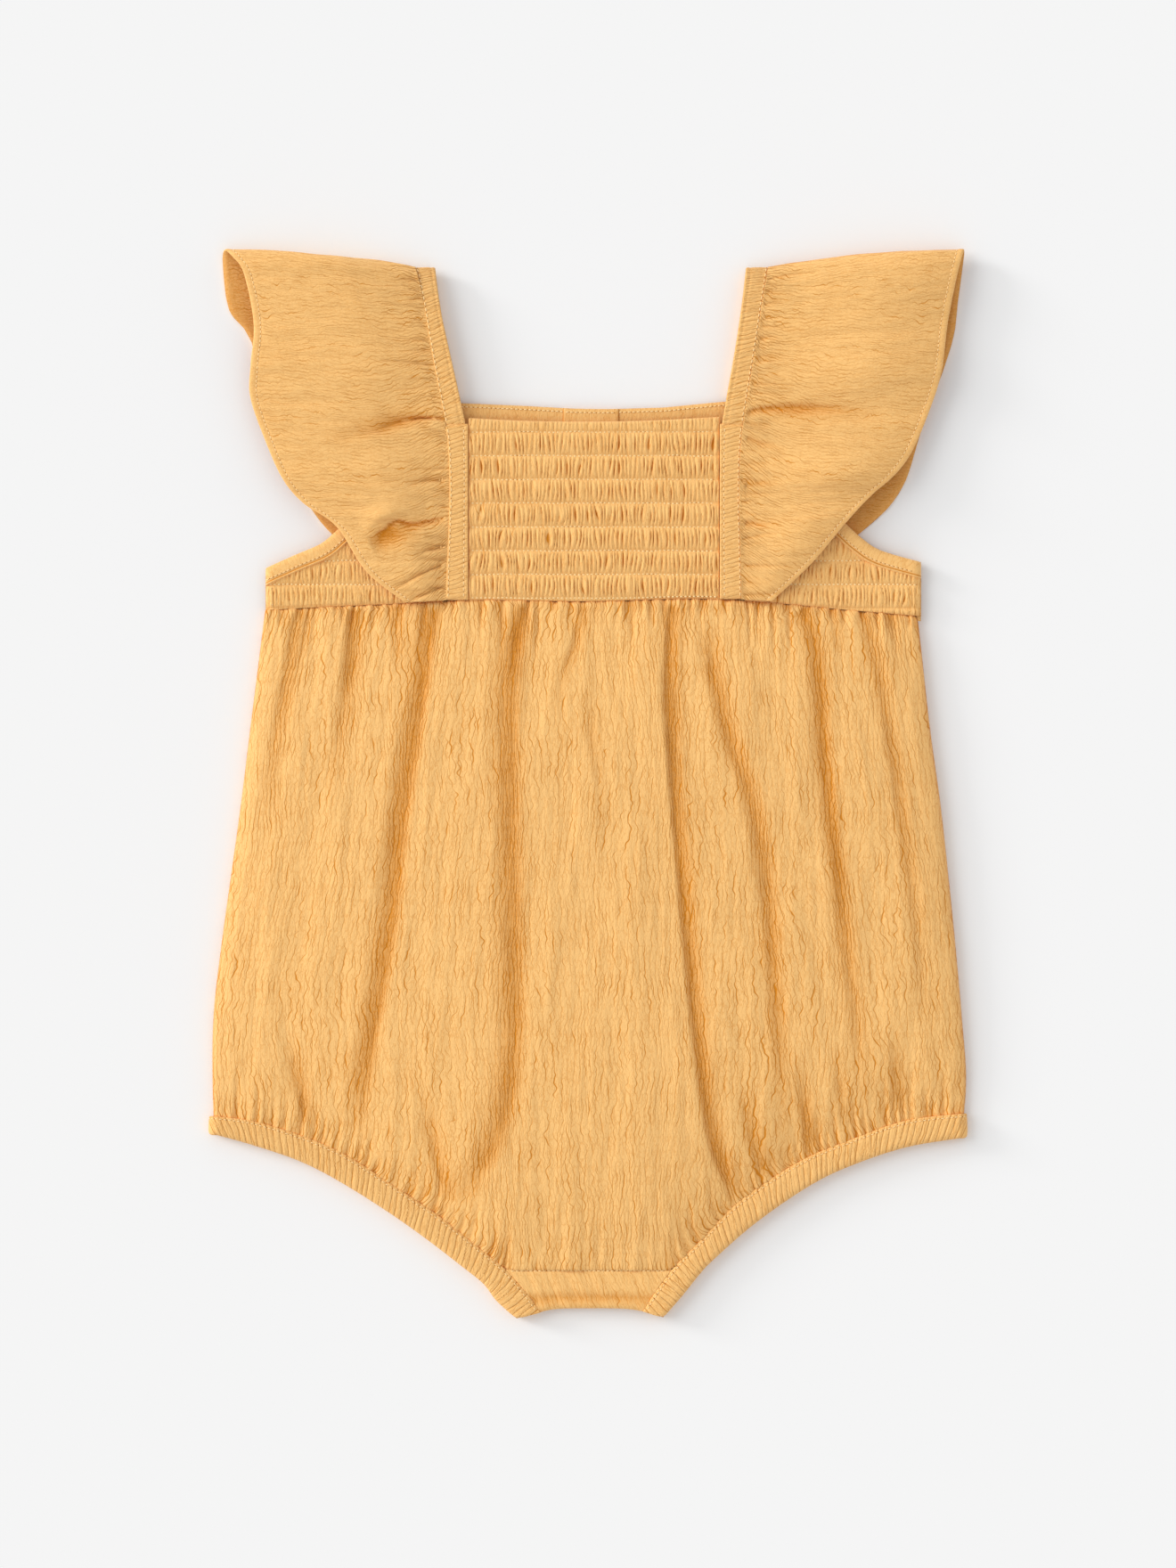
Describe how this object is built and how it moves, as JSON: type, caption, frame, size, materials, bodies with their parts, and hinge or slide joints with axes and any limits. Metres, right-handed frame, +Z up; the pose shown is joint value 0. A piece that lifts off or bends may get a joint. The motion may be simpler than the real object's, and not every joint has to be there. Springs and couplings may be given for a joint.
{
  "type": "baby romper",
  "caption": "Sleeveless baby bubble romper in crinkled cotton, laid flat, with a smocked bodice, flutter sleeves, gathered body and elastic leg casings.",
  "frame": {"origin": "on the floor under the middle of the garment's outline", "axes": "+X to the right across the garment as it is seen from above, +Y from the crotch to the shoulders, +Z up from the floor through the back and the front"},
  "size_m": [0.2848, 0.4013, 0.0132],
  "materials": {
    "crinkle_cotton": "mustard crinkled cotton, matt",
    "smocked_cotton": "mustard crinkled cotton shirred on elastic thread, matt",
    "press_stud": "satin"
  },
  "bodies": {
    "root": {"body_front": "crinkle_cotton", "body_back": "crinkle_cotton", "bodice_front": "smocked_cotton", "bodice_side_left": "smocked_cotton", "bodice_side_right": "smocked_cotton", "bodice_back_left": "crinkle_cotton", "bodice_back_right": "crinkle_cotton", "back_placket_outer": "crinkle_cotton", "back_placket_inner": "crinkle_cotton", "front_band_left": "crinkle_cotton", "front_band_right": "crinkle_cotton", "strap_left": "crinkle_cotton", "strap_right": "crinkle_cotton", "flutter_left": "crinkle_cotton", "flutter_right": "crinkle_cotton", "armhole_facing_front_left": "crinkle_cotton", "armhole_facing_front_right": "crinkle_cotton", "armhole_facing_back_left": "crinkle_cotton", "armhole_facing_back_right": "crinkle_cotton", "leg_casing_left": "crinkle_cotton", "leg_casing_right": "crinkle_cotton", "crotch_flap_front": "crinkle_cotton", "crotch_flap_back": "crinkle_cotton", "crotch_stud_1": "press_stud", "crotch_stud_2": "press_stud", "crotch_stud_3": "press_stud", "back_stud_1": "press_stud", "back_stud_2": "press_stud", "back_stud_3": "press_stud"}
  },
  "joints": []
}
